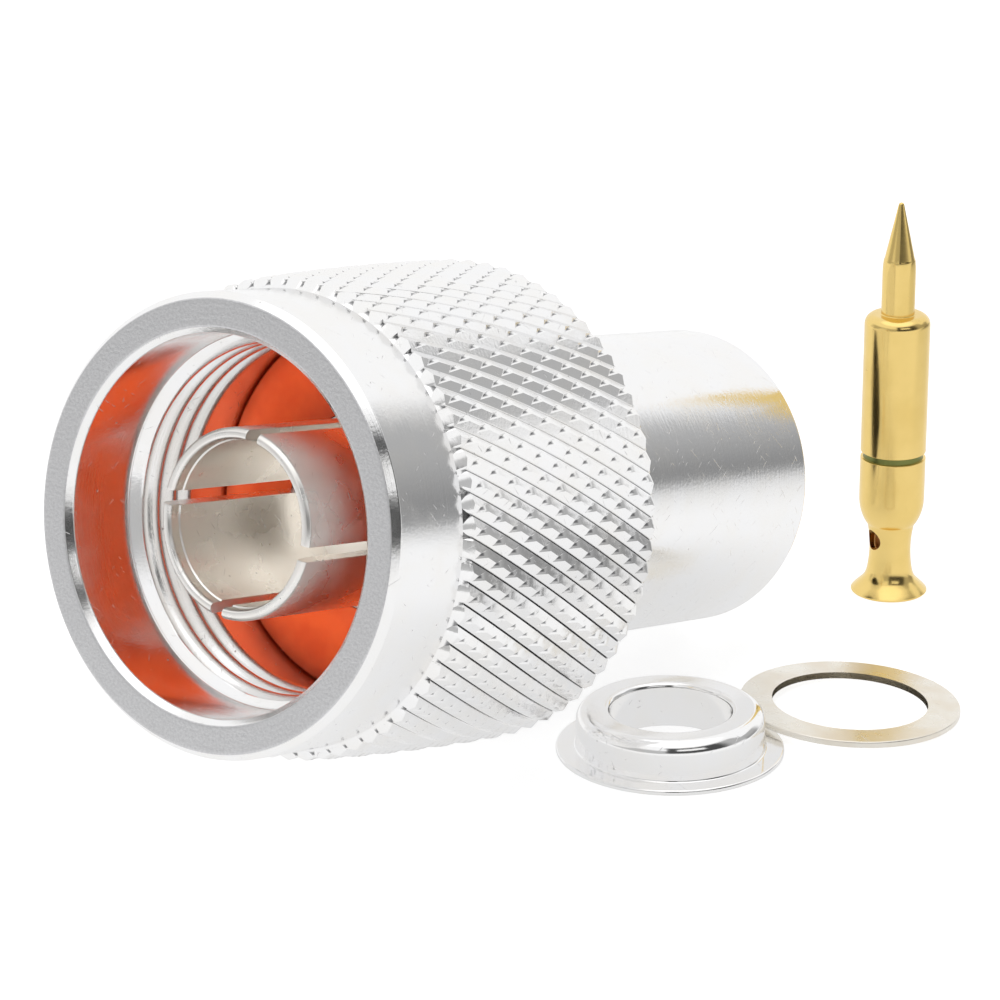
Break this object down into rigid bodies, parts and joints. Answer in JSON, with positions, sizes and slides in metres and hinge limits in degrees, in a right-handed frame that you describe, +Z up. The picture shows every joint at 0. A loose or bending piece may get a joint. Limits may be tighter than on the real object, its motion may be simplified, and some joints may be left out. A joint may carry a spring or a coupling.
{
  "type": "n type connector",
  "caption": "Male N type cable plug of the clamp kind with a knurled coupling nut and slotted sleeve, its pin, braid clamp and washer set out beside it",
  "frame": {"origin": "on the table, under the middle of the whole set's box", "axes": "+Z up from the table, +Y horizontal along the plug from its mating face to its cable end, +X to the side where the loose pieces lie"},
  "size_m": [0.0292, 0.0456, 0.0234],
  "materials": {
    "nut_plating": "bright nickel plating on brass",
    "body_plating": "bright nickel plating on brass",
    "contact_plating": "bright plating, lightly brushed",
    "silicone": "matte orange-red silicone",
    "spring_metal": "plain spring bronze",
    "ptfe": "white PTFE",
    "black_rubber": "matte black rubber",
    "clamp_plating": "bright nickel plating on brass",
    "gold": "polished gold plating on brass",
    "washer_plating": "bright plating with a warm tint"
  },
  "bodies": {
    "plug": {"connector_body": "body_plating", "outer_contact": "contact_plating", "mating_gasket": "silicone", "retaining_ring": "spring_metal", "insulator": "ptfe", "cable_gasket": "black_rubber", "clamp_nut": "clamp_plating", "centre_contact": "gold", "braid_clamp": "clamp_plating", "flat_washer": "washer_plating"},
    "nut": {"coupling_nut": "nut_plating"}
  },
  "joints": [
    {"name": "nut_turn", "type": "hinge", "parent": "plug", "child": "nut", "pos_m": [-0.00395, -0.00811, 0.01123], "axis": [0, 0.9781, -0.2083], "continuous": true}
  ]
}
